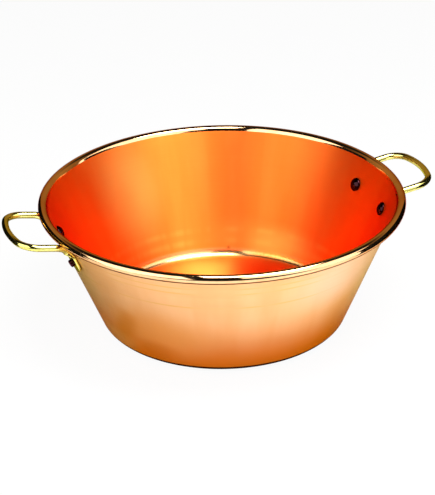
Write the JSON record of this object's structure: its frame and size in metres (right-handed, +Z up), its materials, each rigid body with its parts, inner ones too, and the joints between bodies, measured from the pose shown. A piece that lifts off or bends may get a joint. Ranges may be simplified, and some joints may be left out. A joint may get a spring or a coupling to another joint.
{
  "type": "jam pan",
  "caption": "Wide flared copper pan with a flat bottom, a wired rolled rim and riveted brass bar handles, for boiling jam.",
  "frame": {"origin": "middle of the flat bottom, on the surface that the pan stands on", "axes": "+X towards the right handle, so both handles lie along X; +Z up out of the mouth"},
  "size_m": [0.4596, 0.38, 0.1383],
  "materials": {
    "copper": null,
    "wire_steel": "drawn wire",
    "handle_brass": "polished",
    "rivet_metal": null
  },
  "bodies": {
    "root": {"bowl": "copper", "rim_wire": "wire_steel", "handle_left": "handle_brass", "handle_right": "handle_brass", "rivet_left_front": "rivet_metal", "rivet_left_back": "rivet_metal", "rivet_right_front": "rivet_metal", "rivet_right_back": "rivet_metal"}
  },
  "joints": []
}
